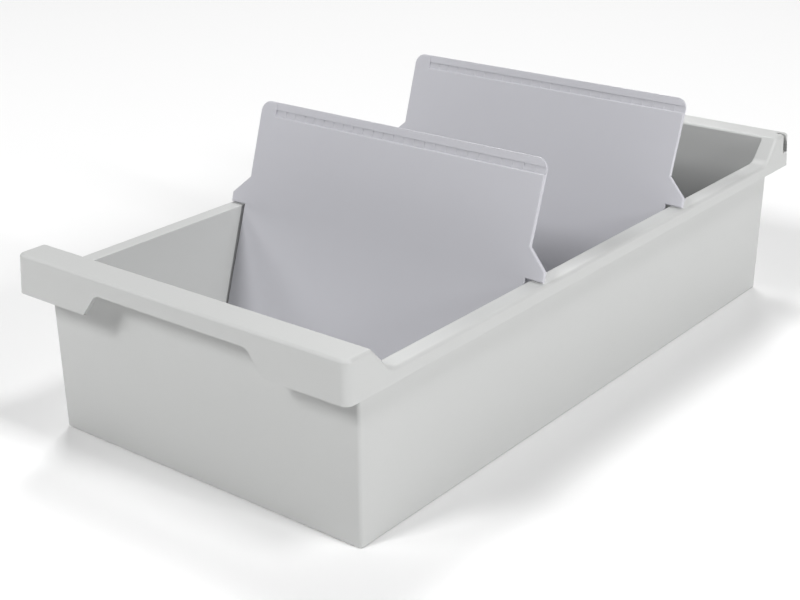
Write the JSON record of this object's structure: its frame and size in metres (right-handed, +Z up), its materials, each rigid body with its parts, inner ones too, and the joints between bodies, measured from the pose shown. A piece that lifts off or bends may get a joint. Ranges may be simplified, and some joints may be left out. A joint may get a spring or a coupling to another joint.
{
  "type": "index card box",
  "caption": "Open desk trough for index cards with a turned-down rim, raised end bars, a finger grip in front and leaning card support plates that slide along it.",
  "frame": {"origin": "middle of the tray's base, on the table", "axes": "+X to the right, +Y to the back along the tray, +Z up; the grip faces -Y"},
  "size_m": [0.2392, 0.4772, 0.1601],
  "materials": {
    "tray_plastic": "satin, fine moulded texture",
    "plate_plastic": "satin, fine moulded texture"
  },
  "bodies": {
    "tray": {"tray": "tray_plastic"},
    "front_support_plate": {"front_support_plate": "plate_plastic"},
    "rear_support_plate": {"rear_support_plate": "plate_plastic"}
  },
  "joints": [
    {"name": "front_plate_slide", "type": "slide", "parent": "tray", "child": "front_support_plate", "axis": [0, 1, 0], "range_m": [-0.1135, 0.077]},
    {"name": "rear_plate_slide", "type": "slide", "parent": "tray", "child": "rear_support_plate", "axis": [0, 1, 0], "range_m": [-0.077, 0.109]}
  ]
}
